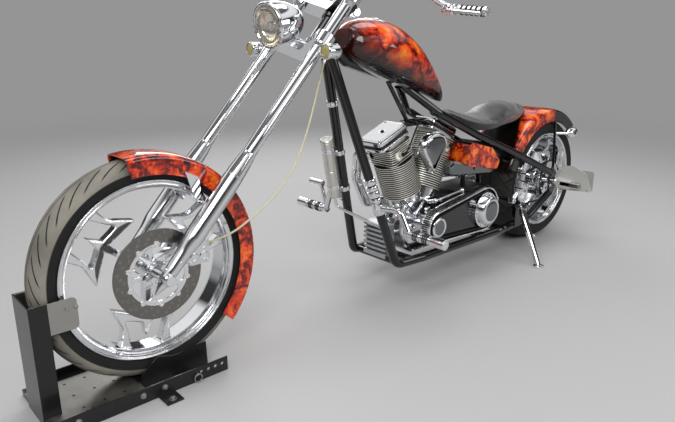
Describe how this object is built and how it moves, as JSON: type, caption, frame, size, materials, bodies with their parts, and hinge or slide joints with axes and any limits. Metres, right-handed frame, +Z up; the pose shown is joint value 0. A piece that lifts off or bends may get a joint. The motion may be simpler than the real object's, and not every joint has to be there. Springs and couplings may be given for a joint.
{
  "type": "chopper motorcycle",
  "caption": "Long-fork chopper motorcycle with finned V-twin engine, thorn-spoked wheels and open belt primary, standing upright in a bolted-down wheel chock.",
  "frame": {"origin": "middle of the footprint of motorcycle and chock, on the floor", "axes": "+X to the front of the motorcycle, +Y to the rider's left, +Z up"},
  "size_m": [2.8769, 0.84, 1.2308],
  "materials": {
    "belt": "matt",
    "body_paint": "gloss",
    "chock_steel": "satin",
    "chrome": "polished",
    "engine_metal": "satin",
    "frame_paint": "gloss",
    "grip_rubber": "polished",
    "polished": "polished",
    "seat_cover": "satin",
    "tyre": "moulded"
  },
  "bodies": {
    "frame_assembly": {"air_cleaner": "chrome", "axle_plates": "frame_paint", "backbone": "frame_paint", "crankcase": "engine_metal", "cross_members": "frame_paint", "cylinders": "engine_metal", "downtubes": "frame_paint", "engine_mount": "frame_paint", "exhausts": "chrome", "final_belt": "belt", "foot_controls": "chrome", "fuel_tank": "body_paint", "gearbox_pulley": "chrome", "horn_cover": "chrome", "lower_rails": "frame_paint", "number_plate": "frame_paint", "oil_cooler_tube": "chrome", "oil_tank": "chrome", "passenger_pegs": "chrome", "plate_bracket": "frame_paint", "primary_belt": "belt", "primary_covers": "chrome", "primary_housing": "engine_metal", "pushrod_tubes": "chrome", "rear_axle": "chrome", "rear_caliper": "polished", "rear_fender": "body_paint", "rear_signals": "chrome", "regulator_box": "chrome", "rocker_boxes": "chrome", "seat": "seat_cover", "tank_cap": "chrome", "transmission": "engine_metal", "upper_stays": "frame_paint"},
    "fork_assembly": {"fork_sliders": "polished", "fork_tubes": "chrome", "front_axle": "chrome", "lower_tree": "polished", "upper_tree": "polished", "handlebar": "chrome", "hand_grips": "grip_rubber", "hand_levers": "chrome", "headlight": "chrome", "front_signals": "chrome", "front_fender": "body_paint", "fender_brackets": "chrome", "front_caliper": "polished", "chock_post": "chock_steel", "chock_head": "chock_steel", "chock_base": "chock_steel", "chock_pan": "chock_steel", "brake_hose": "belt"},
    "front_wheel_assembly": {"front_tyre": "tyre", "front_wheel": "polished", "front_rotor": "polished"},
    "rear_wheel_assembly": {"rear_tyre": "tyre", "rear_wheel": "polished", "rear_pulley": "polished", "rear_rotor": "polished"},
    "stand_leg": {"side_stand": "chrome"}
  },
  "joints": [
    {"name": "steering", "type": "hinge", "parent": "frame_assembly", "child": "fork_assembly", "pos_m": [0.346, 0, 1.0594], "axis": [-0.6756, 0, 0.7373], "range_deg": [-28, 28]},
    {"name": "front_wheel_spin", "type": "hinge", "parent": "fork_assembly", "child": "front_wheel_assembly", "pos_m": [1.0695, 0, 0.366], "axis": [0, 1, 0], "continuous": true},
    {"name": "rear_wheel_spin", "type": "hinge", "parent": "frame_assembly", "child": "rear_wheel_assembly", "pos_m": [-1.1105, 0, 0.328], "axis": [0, 1, 0], "continuous": true},
    {"name": "side_stand_fold", "type": "hinge", "parent": "frame_assembly", "child": "stand_leg", "pos_m": [-0.7855, 0.188, 0.25], "axis": [0.03, 0.8414, 0.5395], "range_deg": [0, 95]}
  ]
}
